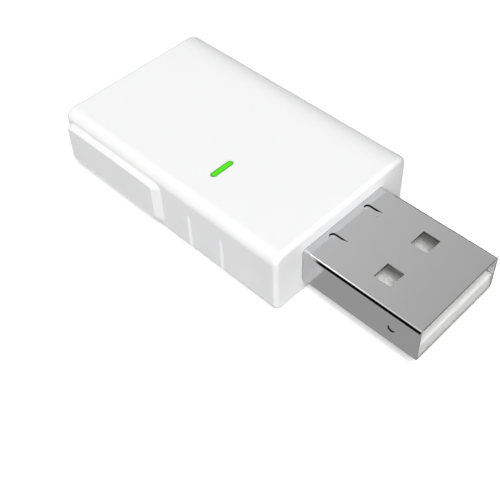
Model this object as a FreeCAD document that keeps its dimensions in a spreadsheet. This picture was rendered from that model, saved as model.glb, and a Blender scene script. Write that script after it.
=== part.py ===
"""A small plug-in network gateway: a white moulded housing with a metal plug, a circuit
board and its electronics.

The housing lies flat on its underside. X runs from the rear of the housing to the tip of
the plug, Y across it and Z upwards. The origin is below the middle of the whole object,
at the height of the underside. Lengths are in millimetres.
"""

import FreeCAD, Part
import math
import os

import Sketcher
from FreeCAD import Vector

doc = FreeCAD.newDocument("gateway")

# Driving dimensions; on the board, front is how far behind the housing's front face the
# middle of a part lies, and side how far it lies from the middle line
SIZES = {
    "housing_length": 31.6,
    "housing_width": 19.5,
    "housing_height": 8.0,
    "edge_radius": 1.2,
    "front_radius": 0.5,
    "rear_radius": 0.8,
    "wall": 1.4,
    "roof": 1.2,
    "cavity_corner": 0.8,
    "lid_thickness": 1.2,
    "seam_gap": 0.05,
    # raised grip on each side
    "grip_length": 13.7,
    "grip_proud": 0.5,
    "grip_flank": 0.58,
    "grip_ramp": 1.0,
    "grip_heel": 0.08,
    "grip_margin": 0.02,
    "grip_root_corner": 0.8,
    "grip_corner": 0.4,
    # grooves ahead of each grip
    "groove_front": 7.3,
    "groove_pitch": 4.6,
    "groove_width": 0.5,
    "groove_depth": 0.25,
    "groove_top": 5.35,
    # posts of the two covers that hold the board between them
    "post_radius": 0.8,
    "post_side": 1.5,
    "post_front": 6.0,
    "post_rear": 2.2,
    "pin_radius": 0.4,
    "pin_length": 2.0,
    "pin_gap": 0.05,
    # snap hooks of the lid
    "hook_width": 2.4,
    "hook_thickness": 0.7,
    "hook_height": 4.0,
    "hook_catch": 0.35,
    "catch_height": 0.9,
    "hook_front": 9.5,
    "hook_pitch": 12.0,
    "hook_gap": 0.1,
    "notch_gap": 0.3,
    # light guide
    "lens_front": 12.28,
    "lens_side": 4.56,
    "lens_length": 2.85,
    "lens_width": 0.68,
    "lens_gap": 0.03,
    "flange_margin": 0.66,
    "flange_thickness": 0.6,
    "light_gap": 0.15,
    # plug shell, folded from sheet metal
    "plug_width": 12.0,
    "plug_height": 4.5,
    "plug_reach": 13.8,
    "plug_inside": 5.0,
    "plug_corner": 0.45,
    "sheet": 0.3,
    "plug_gap": 0.03,
    "window_widening": 0.3,
    "seam_width": 0.08,
    "window_length": 1.96,
    "window_width": 2.08,
    "window_spread": 5.52,
    "window_tip": 5.06,
    "tab_length": 1.95,
    "tab_width": 0.8,
    "tab_spread": 5.2,
    "tab_tip": 11.42,
    "tab_bend": 0.7,
    "tab_drop": 0.16,
    "tab_slit": 0.05,
    "dimple_tip": 3.0,
    "dimple_radius": 0.42,
    "dimple_slope": 0.06,
    "dimple_depth": 0.1,
    "ear_front": 2.2,
    "ear_length": 1.8,
    "ear_reach": 1.4,
    "leg_length": 1.4,
    "leg_gap": 0.1,
    # plastic tongue of the plug and its contacts
    "tongue_height": 1.84,
    "tongue_recess": 0.06,
    "tongue_gap": 0.02,
    "tongue_edge": 0.2,
    "block_length": 4.2,
    "contact_width": 1.0,
    "contact_thickness": 0.2,
    "channel_depth": 0.12,
    "contact_gap": 0.02,
    "data_spread": 2.0,
    "power_spread": 7.0,
    "data_tip": 2.9,
    "power_tip": 1.9,
    "tail_length": 1.4,
    # circuit board
    "board_thickness": 0.8,
    "board_gap": 0.3,
    "board_corner": 0.6,
    "cutout_gap": 0.15,
    # metal can with the network radio chip and its crystal under it
    "radio_shield_front": 19.9,
    "radio_shield_side": 3.2,
    "radio_shield_length": 9.0,
    "radio_shield_width": 7.4,
    "radio_shield_height": 1.8,
    "shield_sheet": 0.2,
    "network_radio_chip_setback": 0.7,
    "network_radio_chip_length": 5.0,
    "network_radio_chip_width": 5.0,
    "network_radio_chip_height": 0.85,
    "crystal_gap": 0.7,
    "crystal_length": 1.6,
    "crystal_width": 2.0,
    "crystal_height": 0.6,
    "crystal_step": 0.1,
    # chips outside the can
    "short_range_radio_chip_front": 13.1,
    "short_range_radio_chip_side": 1.6,
    "short_range_radio_chip_length": 4.0,
    "short_range_radio_chip_width": 4.0,
    "short_range_radio_chip_height": 0.85,
    "memory_chip_gap": 1.55,
    "memory_chip_side": -4.5,
    "memory_chip_length": 4.9,
    "memory_chip_width": 3.9,
    "memory_chip_height": 1.5,
    "surge_protector_front": 8.7,
    "surge_protector_side": 0.0,
    "surge_protector_length": 1.6,
    "surge_protector_width": 2.9,
    "surge_protector_height": 1.1,
    "voltage_regulator_front": 8.7,
    "voltage_regulator_side": -4.0,
    "voltage_regulator_length": 1.6,
    "voltage_regulator_width": 2.9,
    "voltage_regulator_height": 1.1,
    "lead_width": 0.4,
    "lead_thickness": 0.15,
    "lead_reach": 0.6,
    "lead_pitch": 1.27,
    "small_lead_pitch": 0.95,
    "mark_radius": 0.25,
    "mark_depth": 0.1,
    "mark_inset": 0.7,
    # coil: two square flanges on a round core
    "power_inductor_front": 8.9,
    "power_inductor_side": 4.0,
    "power_inductor_length": 3.0,
    "power_inductor_width": 3.0,
    "power_inductor_height": 1.4,
    "flange_height": 0.3,
    "core_radius": 1.1,
    # blocks with a metal cap over each end
    "input_capacitor_front": 15.1,
    "input_capacitor_side": -4.6,
    "input_capacitor_length": 1.6,
    "input_capacitor_width": 3.2,
    "input_capacitor_height": 1.6,
    "output_capacitor_front": 9.5,
    "output_capacitor_side": -6.5,
    "output_capacitor_length": 2.0,
    "output_capacitor_width": 1.25,
    "output_capacitor_height": 1.25,
    "chip_antenna_front": 12.3,
    "chip_antenna_side": 6.3,
    "chip_antenna_length": 3.2,
    "chip_antenna_width": 1.6,
    "chip_antenna_height": 1.2,
    "status_led_length": 0.8,
    "status_led_width": 1.6,
    "status_led_height": 0.6,
    "terminal": 0.35,
    "terminal_proud": 0.03,
    # rows of small parts
    "small_length": 1.0,
    "small_width": 0.5,
    "capacitor_height": 0.5,
    "capacitor_front": 16.2,
    "capacitor_side": 1.15,
    "capacitor_pitch": 1.5,
    "resistor_height": 0.35,
    "resistor_front": 11.7,
    "resistor_side": 1.4,
    "resistor_pitch": 1.4,
    # aerial etched across the rear of the board
    "track_width": 0.5,
    "track_thickness": 0.05,
    "track_pitch": 1.1,
    "track_rear": 0.6,
    "track_gap": 0.7,
}

CAPACITORS = 6
RESISTORS = 3
TRACK_TURNS = 10

# Two places nearer than this count as one
TOUCH = 1e-6

sheet = doc.addObject("Spreadsheet::Sheet", "sizes")
for row, (name, number) in enumerate(SIZES.items(), 1):
    sheet.set("A%d" % row, name)
    sheet.set("B%d" % row, str(number))
    sheet.setAlias("B%d" % row, name)
doc.recompute()


def sized(formula):
    """Puts the sheet's name before each size that a formula mentions."""
    words = formula.replace("(", " ( ").replace(")", " ) ").split()
    return " ".join("sizes." + word if word in SIZES else word for word in words)


# Places that several pieces share
FRONT = "( housing_length - plug_reach ) / 2"
REAR = "( 0 - housing_length - plug_reach ) / 2"
TIP = "( housing_length + plug_reach ) / 2"
SIDE = "housing_width / 2"
CAVITY_FRONT = FRONT + " - wall"
CAVITY_REAR = REAR + " + wall"
CAVITY_SIDE = SIDE + " - wall"
CEILING = "housing_height - roof"
PLUG_BASE = "( housing_height - plug_height ) / 2"
PLUG_TOP = "( housing_height + plug_height ) / 2"
PLUG_REAR = FRONT + " - plug_inside"
TONGUE_TOP = PLUG_BASE + " + sheet + tongue_height"
BOARD_TOP = TONGUE_TOP + " - channel_depth"
BOARD_BASE = BOARD_TOP + " - board_thickness"
LENS_X = FRONT + " - lens_front"
LENS_Y = "0 - lens_side"
POST_Y = CAVITY_SIDE + " - post_side"
POST_FRONT_X = CAVITY_FRONT + " - post_front"
POST_REAR_X = CAVITY_REAR + " + post_rear"
HOOK_X = CAVITY_FRONT + " - hook_front"
HOOK_Y = CAVITY_SIDE + " - hook_gap"
HOOK_TOP = "lid_thickness + hook_height"
CATCH_BASE = HOOK_TOP + " - catch_height"
BLOCK_FRONT = PLUG_REAR + " + block_length"
SHIELD_X = FRONT + " - radio_shield_front"
SHIELD_REAR = SHIELD_X + " - radio_shield_length / 2"
RADIO_CHIP_X = SHIELD_X + " - network_radio_chip_setback"
CRYSTAL_X = (RADIO_CHIP_X + " + network_radio_chip_length / 2 + crystal_gap"
             " + crystal_length / 2")
MEMORY_X = (FRONT + " - input_capacitor_front - input_capacitor_length / 2"
            " - memory_chip_gap - memory_chip_length / 2")

# Parts on the board whose middle follows another piece; the rest have a place of their own
MIDDLES = {
    "status_led": (LENS_X, LENS_Y),
    "network_radio_chip": (RADIO_CHIP_X, "radio_shield_side"),
    "crystal": (CRYSTAL_X, "radio_shield_side"),
    "memory_chip": (MEMORY_X, "memory_chip_side"),
}

# Name, place across the plug and distance of the tip behind the shell's end
CONTACTS = (
    ("power_contact", "0 - power_spread / 2", "power_tip"),
    ("data_minus_contact", "0 - data_spread / 2", "data_tip"),
    ("data_plus_contact", "data_spread / 2", "data_tip"),
    ("ground_contact", "power_spread / 2", "power_tip"),
)


def negative(formula):
    return "0 - ( %s )" % formula


def value(word):
    return float(sheet.get(word))


def bind(item, **formulas):
    """Ties properties of an object to formulas."""
    for prop, formula in formulas.items():
        item.setExpression(prop, sized(formula))


def start_body(name):
    body = doc.addObject("PartDesign::Body", name)
    body.Label = name
    return body


def start_sketch(body, name, role, away="0"):
    """An empty sketch on one of the body's own planes, moved along the plane's normal."""
    sketch = body.newObject("Sketcher::SketchObject", name)
    plane = [item for item in body.Origin.OriginFeatures if item.Role == role][0]
    sketch.AttachmentSupport = [(plane, "")]
    sketch.MapMode = "FlatFace"
    sketch.setExpression(".AttachmentOffset.Base.z", sized(away))
    return sketch


def constrain(sketch, formula, kind, part, point):
    """Ties a point's distance from the sketch's origin along one axis to a formula."""
    place = sketch.getPoint(part, point)
    start = place.x if kind == "DistanceX" else place.y
    index = sketch.addConstraint(Sketcher.Constraint(kind, part, point, start))
    sketch.setExpression("Constraints[%d]" % index, sized(formula))


def outline(sketch, points):
    """A closed outline of straight lines through points given as pairs of formulas."""
    count = len(points)
    start = sketch.GeometryCount
    turn = 2 * math.pi / count
    ring = [Vector(math.cos(turn * n), math.sin(turn * n), 0) for n in range(count)]
    for n in range(count):
        sketch.addGeometry(Part.LineSegment(ring[n], ring[(n + 1) % count]), False)
    for n in range(count):
        following = start + (n + 1) % count
        sketch.addConstraint(Sketcher.Constraint("Coincident", start + n, 2, following, 1))
    for n, (x, y) in enumerate(points):
        constrain(sketch, x, "DistanceX", start + n, 1)
        constrain(sketch, y, "DistanceY", start + n, 1)


def rectangle(sketch, x0, x1, y0, y1):
    outline(sketch, [(x0, y0), (x1, y0), (x1, y1), (x0, y1)])


def circle(sketch, x, y, radius):
    index = sketch.addGeometry(Part.Circle(Vector(), Vector(0, 0, 1), 1.0), False)
    constrain(sketch, x, "DistanceX", index, 3)
    constrain(sketch, y, "DistanceY", index, 3)
    size = sketch.addConstraint(Sketcher.Constraint("Radius", index, 1.0))
    sketch.setExpression("Constraints[%d]" % size, sized(radius))


def capsule(sketch, x, y, length, width):
    """A slot outline with round ends, long along the sketch's second axis."""
    left, right, upper, lower = range(sketch.GeometryCount, sketch.GeometryCount + 4)
    sketch.addGeometry(Part.LineSegment(Vector(-1, 1, 0), Vector(-1, -1, 0)), False)
    sketch.addGeometry(Part.LineSegment(Vector(1, -1, 0), Vector(1, 1, 0)), False)
    for height, begin in ((1, 0), (-1, math.pi)):
        ring = Part.Circle(Vector(0, height, 0), Vector(0, 0, 1), 1.0)
        sketch.addGeometry(Part.ArcOfCircle(ring, begin, begin + math.pi), False)
    for arc, arc_end, line, line_end in (
            (upper, 2, left, 1), (lower, 1, left, 2), (lower, 2, right, 1), (upper, 1, right, 2)):
        sketch.addConstraint(Sketcher.Constraint("Coincident", arc, arc_end, line, line_end))
    half_width = "( %s ) / 2" % width
    half_length = "( %s - %s ) / 2" % (length, width)
    for line, sign, ends in ((left, "-", (1, 2)), (right, "+", (2, 1))):
        for end, along in zip(ends, ("+", "-")):
            constrain(sketch, "%s %s %s" % (x, sign, half_width), "DistanceX", line, end)
            constrain(sketch, "%s %s %s" % (y, along, half_length), "DistanceY", line, end)
    constrain(sketch, "%s + %s" % (y, half_length), "DistanceY", upper, 3)
    constrain(sketch, "%s - %s" % (y, half_length), "DistanceY", lower, 3)


def round_ended(sketch, x0, x1, y, width):
    """An outline long along the first axis, with a half circle at its low end."""
    lower, end, upper, arc = range(sketch.GeometryCount, sketch.GeometryCount + 4)
    sketch.addGeometry(Part.LineSegment(Vector(-1, -1, 0), Vector(1, -1, 0)), False)
    sketch.addGeometry(Part.LineSegment(Vector(1, -1, 0), Vector(1, 1, 0)), False)
    sketch.addGeometry(Part.LineSegment(Vector(1, 1, 0), Vector(-1, 1, 0)), False)
    ring = Part.Circle(Vector(-1, 0, 0), Vector(0, 0, 1), 1.0)
    sketch.addGeometry(Part.ArcOfCircle(ring, math.pi / 2, 3 * math.pi / 2), False)
    for one, two in ((lower, end), (end, upper), (upper, arc), (arc, lower)):
        sketch.addConstraint(Sketcher.Constraint("Coincident", one, 2, two, 1))
    centre = "%s + %s / 2" % (x0, width)
    corners = [(lower, 1, centre, "-"), (end, 1, x1, "-"), (upper, 1, x1, "+"),
               (upper, 2, centre, "+")]
    for part, point, x, sign in corners:
        constrain(sketch, x, "DistanceX", part, point)
        constrain(sketch, "%s %s %s / 2" % (y, sign, width), "DistanceY", part, point)
    constrain(sketch, centre, "DistanceX", arc, 3)


def rounded_rectangle(sketch, x0, x1, y0, y1, radius):
    """A rectangle whose corners are arcs of one radius."""
    first = sketch.GeometryCount
    low = {"x": "%s + %s" % (x0, radius), "y": "%s + %s" % (y0, radius)}
    high = {"x": "%s - %s" % (x1, radius), "y": "%s - %s" % (y1, radius)}
    sides = [((low["x"], y0), (high["x"], y0)), ((x1, low["y"]), (x1, high["y"])),
             ((high["x"], y1), (low["x"], y1)), ((x0, high["y"]), (x0, low["y"]))]
    corners = [((1, -1), high["x"]), ((1, 1), high["x"]), ((-1, 1), low["x"]), ((-1, -1), low["x"])]
    starts = [Vector(-1, -2, 0), Vector(2, -1, 0), Vector(1, 2, 0), Vector(-2, 1, 0)]
    ends = [Vector(1, -2, 0), Vector(2, 1, 0), Vector(-1, 2, 0), Vector(-2, -1, 0)]
    for n in range(4):
        sketch.addGeometry(Part.LineSegment(starts[n], ends[n]), False)
    for n, ((x, y), centre) in enumerate(corners):
        ring = Part.Circle(Vector(x, y, 0), Vector(0, 0, 1), 1.0)
        begin = (n - 1) * math.pi / 2
        sketch.addGeometry(Part.ArcOfCircle(ring, begin, begin + math.pi / 2), False)
        arc = first + 4 + n
        following = first + (n + 1) % 4
        sketch.addConstraint(Sketcher.Constraint("Coincident", arc, 1, first + n, 2))
        sketch.addConstraint(Sketcher.Constraint("Coincident", arc, 2, following, 1))
    for n, side in enumerate(sides):
        for end, (x, y) in enumerate(side, 1):
            constrain(sketch, x, "DistanceX", first + n, end)
            constrain(sketch, y, "DistanceY", first + n, end)
    for n, (place, centre) in enumerate(corners):
        constrain(sketch, centre, "DistanceX", first + 4 + n, 3)


def pad(body, sketch, length, reverse=False):
    """Adds material from the sketch along its normal, or against it."""
    feature = body.newObject("PartDesign::Pad", sketch.Name + "_pad")
    feature.Profile = sketch
    feature.Reversed = reverse
    bind(feature, Length=length)
    doc.recompute()
    return feature


def pocket(body, sketch, length, forward=False, both_ways=False):
    """Cuts the sketch out against its normal, or along it, or to both sides of it."""
    before = body.Shape.Volume
    feature = body.newObject("PartDesign::Pocket", sketch.Name + "_pocket")
    feature.Profile = sketch
    feature.Reversed = forward
    if both_ways:
        feature.SideType = "Symmetric"
    bind(feature, Length=length)
    doc.recompute()
    if body.Shape.Volume >= before:
        raise RuntimeError(feature.Name + " cuts nothing")
    return feature


def fillet(body, name, test, radius):
    """Rounds those edges of the body that pass the test."""
    base = body.Tip
    edges = ["Edge%d" % n for n, edge in enumerate(base.Shape.Edges, 1) if test(edge)]
    feature = body.newObject("PartDesign::Fillet", name)
    feature.Base = (base, edges)
    bind(feature, Radius=radius)
    doc.recompute()
    return feature


def spans(edge, axis):
    """How far an edge runs along an axis."""
    box = edge.BoundBox
    return (box.XLength, box.YLength, box.ZLength)["xyz".index(axis)]


def runs_along(edge, axis):
    """Whether an edge is straight and parallel to an axis."""
    return all(spans(edge, other) < TOUCH for other in "xyz" if other != axis)


def add_housing_form(body):
    """The outer form of the housing: a rounded block."""
    profile = start_sketch(body, "housing_section", "YZ_Plane", REAR)
    rectangle(profile, negative(SIDE), SIDE, "0", "housing_height")
    pad(body, profile, "housing_length")
    fillet(body, "long_edges", lambda edge: runs_along(edge, "x"), "edge_radius")
    front = body.Shape.BoundBox.XMax
    fillet(body, "front_edges", lambda edge: edge.BoundBox.XMin > front - TOUCH, "front_radius")
    rear = body.Shape.BoundBox.XMin
    fillet(body, "rear_edges", lambda edge: edge.BoundBox.XMax < rear + TOUCH, "rear_radius")


def add_grips(body):
    """A raised island with sloping flanks on each side, and grooves ahead of it."""
    heel = REAR + " + rear_radius + grip_margin"
    foot = "edge_radius + grip_margin"
    crest = foot + " + grip_flank"
    for side, turned in (("near", ""), ("far", "0 - ")):
        root = start_sketch(body, "grip_root_" + side, "XZ_Plane", turned + "(" + SIDE + ")")
        rounded_rectangle(root, heel, heel + " + grip_heel + grip_length + grip_ramp",
                          foot, "housing_height - ( %s )" % foot, "grip_root_corner")
        face = start_sketch(body, "grip_face_" + side, "XZ_Plane",
                            turned + "(" + SIDE + " + grip_proud )")
        rounded_rectangle(face, heel + " + grip_heel", heel + " + grip_heel + grip_length",
                          crest, "housing_height - ( %s )" % crest, "grip_corner")
        grip = body.newObject("PartDesign::AdditiveLoft", "grip_" + side)
        grip.Profile = root
        grip.Sections = [face]
        grip.Ruled = True
        doc.recompute()


def add_grooves(body):
    sketch = start_sketch(body, "grooves", "XY_Plane", "groove_top")
    for turned in ("", "0 - "):
        for step in range(2):
            place = FRONT + " - groove_front - %d * groove_pitch" % step
            outer = turned + "( " + SIDE + " + groove_depth )"
            skin = turned + "( " + SIDE + " )"
            floor = turned + "( " + SIDE + " - groove_depth )"
            outline(sketch, [(place + " - groove_width / 2", outer),
                             (place + " - groove_width / 2", skin),
                             (place, floor),
                             (place + " + groove_width / 2", skin),
                             (place + " + groove_width / 2", outer)])
    pocket(body, sketch, "groove_top + groove_depth")


def post_places():
    """The formulas of each post's place, with whether a locating pin goes through it."""
    for turned in ("", "0 - "):
        yield POST_FRONT_X, turned + "( " + POST_Y + " )", False
        yield POST_REAR_X, turned + "( " + POST_Y + " )", True


def add_plug_window(body):
    """The opening for the plug, wider inside so that the plug can go in at a slant."""
    outer = start_sketch(body, "window_outside", "YZ_Plane", FRONT)
    inner = start_sketch(body, "window_inside", "YZ_Plane", CAVITY_FRONT)
    for sketch, margin in ((outer, "plug_gap"), (inner, "( plug_gap + window_widening )")):
        rounded_rectangle(sketch, "0 - plug_width / 2 - " + margin, "plug_width / 2 + " + margin,
                          PLUG_BASE + " - " + margin, PLUG_TOP + " + " + margin,
                          "( plug_corner + %s )" % margin)
    window = body.newObject("PartDesign::SubtractiveLoft", "plug_window")
    window.Profile = outer
    window.Sections = [inner]
    window.Ruled = True
    doc.recompute()


def make_upper_cover():
    """The shell that shows: a tub open below, with a window for the plug in its front."""
    body = start_body("upper_cover")
    add_housing_form(body)
    add_grips(body)
    add_grooves(body)
    cavity = start_sketch(body, "cavity", "XY_Plane")
    rectangle(cavity, CAVITY_REAR, CAVITY_FRONT, negative(CAVITY_SIDE), CAVITY_SIDE)
    pocket(body, cavity, CEILING, forward=True)
    ceiling = value("housing_height") - value("roof")
    fillet(body, "cavity_corners",
           lambda edge: runs_along(edge, "z") and abs(spans(edge, "z") - ceiling) < TOUCH,
           "cavity_corner")
    add_plug_window(body)
    slot = start_sketch(body, "light_slot", "XY_Plane", "housing_height")
    capsule(slot, LENS_X, LENS_Y, "lens_length + 2 * lens_gap", "lens_width + 2 * lens_gap")
    pocket(body, slot, "roof")
    catches = start_sketch(body, "catch_recesses", "XZ_Plane")
    for step in range(2):
        place = HOOK_X + " - %d * hook_pitch" % step
        rectangle(catches, place + " - hook_width / 2 - hook_gap",
                  place + " + hook_width / 2 + hook_gap",
                  CATCH_BASE + " - hook_gap", HOOK_TOP + " + hook_gap")
    pocket(body, catches, "2 * ( %s + hook_catch + hook_gap )" % HOOK_Y, both_ways=True)
    posts = start_sketch(body, "posts", "XY_Plane", CEILING)
    for x, y, pinned in post_places():
        circle(posts, x, y, "post_radius")
        if pinned:
            circle(posts, x, y, "pin_radius + pin_gap")
    pad(body, posts, CEILING + " - ( %s )" % BOARD_TOP, reverse=True)
    return body


def make_lower_cover():
    """The lid: a plate with posts for the board, two pins and four snap hooks."""
    body = start_body("lower_cover")
    plate = start_sketch(body, "plate", "XY_Plane")
    rectangle(plate, CAVITY_REAR + " + seam_gap", CAVITY_FRONT + " - seam_gap",
              negative(CAVITY_SIDE + " - seam_gap"), CAVITY_SIDE + " - seam_gap")
    pad(body, plate, "lid_thickness")
    fillet(body, "plate_corners", lambda edge: runs_along(edge, "z"),
           "cavity_corner - seam_gap")
    posts = start_sketch(body, "posts", "XY_Plane", "lid_thickness")
    pins = start_sketch(body, "pins", "XY_Plane", BOARD_BASE)
    for x, y, pinned in post_places():
        circle(posts, x, y, "post_radius")
        if pinned:
            circle(pins, x, y, "pin_radius")
    pad(body, posts, BOARD_BASE + " - lid_thickness")
    pad(body, pins, "pin_length")
    hooks = start_sketch(body, "hooks", "YZ_Plane", HOOK_X + " - hook_width / 2")
    for turned in ("", "0 - "):
        inner = turned + "( " + HOOK_Y + " - hook_thickness )"
        outer = turned + "( " + HOOK_Y + " )"
        catch = turned + "( " + HOOK_Y + " + hook_catch )"
        outline(hooks, [(inner, "lid_thickness"), (outer, "lid_thickness"), (outer, CATCH_BASE),
                        (catch, CATCH_BASE), (outer, HOOK_TOP), (inner, HOOK_TOP)])
    hook_pair = pad(body, hooks, "hook_width")
    pattern = body.newObject("PartDesign::LinearPattern", "hook_row")
    pattern.Originals = [hook_pair]
    axis = [item for item in body.Origin.OriginFeatures if item.Role == "X_Axis"][0]
    pattern.Direction = (axis, [""])
    pattern.Reversed = True
    pattern.Occurrences = 2
    bind(pattern, Length="hook_pitch")
    body.Tip = pattern
    doc.recompute()
    return body


def make_light_guide():
    """A clear rod from the top face down to the light source, glued in by its flange."""
    body = start_body("light_guide")
    for name, height, margin, length in (
            ("window", "housing_height", "0", "roof"),
            ("flange", CEILING, "2 * flange_margin", "flange_thickness"),
            ("stem", CEILING + " - flange_thickness", "0",
             CEILING + " - flange_thickness - ( %s ) - status_led_height - light_gap" % BOARD_TOP)):
        sketch = start_sketch(body, name, "XY_Plane", height)
        capsule(sketch, LENS_X, LENS_Y, "( lens_length + %s )" % margin,
                "( lens_width + %s )" % margin)
        pad(body, sketch, length, reverse=True)
    return body


def make_plug_shell():
    """The shell, folded from one sheet, with windows, spring tabs, dimples and board legs."""
    body = start_body("plug_shell")
    section = start_sketch(body, "section", "YZ_Plane", PLUG_REAR)
    rectangle(section, "0 - plug_width / 2", "plug_width / 2", PLUG_BASE, PLUG_TOP)
    pad(body, section, "plug_inside + plug_reach")
    fillet(body, "folds", lambda edge: runs_along(edge, "x"), "plug_corner")
    ends = ["Face%d" % n for n, face in enumerate(body.Tip.Shape.Faces, 1)
            if face.BoundBox.XLength < TOUCH]
    hollow = body.newObject("PartDesign::Thickness", "hollow")
    hollow.Base = (body.getObject("folds"), ends)
    hollow.Reversed = True
    bind(hollow, Value="sheet")
    doc.recompute()
    seam = start_sketch(body, "seam", "XY_Plane", PLUG_BASE)
    rectangle(seam, PLUG_REAR + " - sheet", TIP + " + sheet",
              "0 - seam_width / 2", "seam_width / 2")
    pocket(body, seam, "sheet", forward=True)
    windows = start_sketch(body, "windows", "XY_Plane", "housing_height")
    for turned in ("", "0 - "):
        middle = turned + "window_spread / 2"
        rectangle(windows, TIP + " - window_tip - window_length", TIP + " - window_tip",
                  middle + " - window_width / 2", middle + " + window_width / 2")
    pocket(body, windows, "housing_height")
    add_tabs(body)
    add_dimples(body)
    ears = start_sketch(body, "ears", "YZ_Plane", FRONT + " - ear_front - ear_length")
    for turned in ("", "0 - "):
        root = turned + "( plug_width / 2 - sheet / 2 )"
        inner = turned + "( plug_width / 2 + ear_reach - sheet )"
        outer = turned + "( plug_width / 2 + ear_reach )"
        low = BOARD_TOP + " - leg_length"
        outline(ears, [(root, BOARD_TOP), (inner, BOARD_TOP), (inner, low), (outer, low),
                       (outer, BOARD_TOP + " + sheet"), (root, BOARD_TOP + " + sheet")])
    pad(body, ears, "ear_length")
    return body


def add_tabs(body):
    """Two tongues cut free on three sides, round at their free rear end and pressed in."""
    rear = TIP + " - tab_tip - tab_length"
    front = TIP + " - tab_tip"
    openings = start_sketch(body, "tab_openings", "XY_Plane", PLUG_TOP)
    blades = start_sketch(body, "tab_blades", "XY_Plane", PLUG_TOP + " - tab_drop")
    for turned in ("", "0 - "):
        middle = turned + "tab_spread / 2"
        round_ended(openings, rear, front, middle, "tab_width")
        round_ended(blades, rear + " + tab_slit", front + " - tab_bend", middle,
                    "( tab_width - 2 * tab_slit )")
    pocket(body, openings, "sheet")
    for side, turned in (("near", ""), ("far", "0 - ")):
        bend = start_sketch(body, "tab_bend_" + side, "XZ_Plane",
                            turned + "tab_spread / 2 - tab_width / 2 + tab_slit")
        outline(bend, [(front, PLUG_TOP), (front, PLUG_TOP + " - sheet"),
                       (front + " - tab_bend", PLUG_TOP + " - sheet - tab_drop"),
                       (front + " - tab_bend", PLUG_TOP + " - tab_drop")])
        pad(body, bend, "tab_width - 2 * tab_slit")
    pad(body, blades, "sheet", reverse=True)


def add_dimples(body):
    """A shallow round dent with steep sides in each side wall."""
    for side, turned in (("near", "0 - "), ("far", "")):
        sketch = start_sketch(body, "dimple_" + side, "XY_Plane", "housing_height / 2")
        sketch.setExpression(".AttachmentOffset.Base.x", sized(TIP + " - dimple_tip"))
        floor = turned + "( plug_width / 2 - dimple_depth )"
        outer = turned + "( plug_width / 2 + dimple_depth )"
        outline(sketch, [("0", floor), ("dimple_radius - dimple_slope", floor),
                         ("dimple_radius", turned + "( plug_width / 2 )"),
                         ("dimple_radius", outer), ("0", outer)])
        dent = body.newObject("PartDesign::Groove", "dent_" + side)
        dent.Profile = sketch
        dent.ReferenceAxis = (sketch, ["V_Axis"])
        dent.Angle = 360
        doc.recompute()


def make_plug_tongue():
    """The plastic inside the plug: a rear block that fills the shell, and a flat tongue."""
    body = start_body("plug_tongue")
    half = "plug_width / 2 - sheet - tongue_gap"
    section = start_sketch(body, "section", "YZ_Plane", PLUG_REAR)
    rectangle(section, negative(half), half,
              PLUG_BASE + " + sheet", PLUG_TOP + " - sheet - tongue_gap")
    pad(body, section, "plug_inside + plug_reach - tongue_recess")
    fillet(body, "long_edges", lambda edge: runs_along(edge, "x"), "plug_corner - sheet")
    mouth = start_sketch(body, "mouth", "XZ_Plane")
    rectangle(mouth, BLOCK_FRONT, TIP, TONGUE_TOP, PLUG_TOP)
    pocket(body, mouth, "plug_width", both_ways=True)
    front = body.Shape.BoundBox.XMax
    base = body.Shape.BoundBox.ZMin
    fillet(body, "front_edge",
           lambda edge: runs_along(edge, "y") and edge.BoundBox.XMin > front - TOUCH
           and edge.BoundBox.ZMin > base + TOUCH,
           "tongue_edge")
    tunnels = start_sketch(body, "tunnels", "YZ_Plane", BLOCK_FRONT)
    troughs = start_sketch(body, "troughs", "XY_Plane", TONGUE_TOP)
    for name, y, tip in CONTACTS:
        near = y + " - contact_width / 2 - contact_gap"
        far = y + " + contact_width / 2 + contact_gap"
        rectangle(tunnels, near, far, BOARD_TOP, BOARD_TOP + " + contact_thickness + contact_gap")
        rectangle(troughs, BLOCK_FRONT, TIP + " - %s + contact_gap" % tip, near, far)
    pocket(body, tunnels, "block_length")
    pocket(body, troughs, "channel_depth")
    return body


def box(name, x, y, z, length, width, height):
    """A block with its low corner at a place; all are formulas."""
    block = doc.addObject("Part::Box", name)
    bind(block, Length=length, Width=width, Height=height)
    for axis, formula in zip("xyz", (x, y, z)):
        block.setExpression(".Placement.Base." + axis, sized(formula))
    return block


def cylinder(name, x, y, z, radius, height):
    rod = doc.addObject("Part::Cylinder", name)
    bind(rod, Radius=radius, Height=height)
    for axis, formula in zip("xyz", (x, y, z)):
        rod.setExpression(".Placement.Base." + axis, sized(formula))
    return rod


def named(item, name):
    item.Label = name
    return item


def fuse(name, pieces):
    whole = doc.addObject("Part::MultiFuse", name)
    whole.Shapes = pieces
    return named(whole, name)


def cut(name, base, tool):
    rest = doc.addObject("Part::Cut", name)
    rest.Base = base
    rest.Tool = tool
    return named(rest, name)


def group(name, pieces):
    several = doc.addObject("Part::Compound", name)
    several.Links = pieces
    return named(several, name)


def make_contact(name, y, tip):
    """A straight strip in its channel, whose tail lies on the board."""
    strip = box(name, PLUG_REAR + " - tail_length", y + " - contact_width / 2", BOARD_TOP,
                "plug_inside + plug_reach - %s + tail_length" % tip,
                "contact_width", "contact_thickness")
    return named(strip, name)


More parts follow.
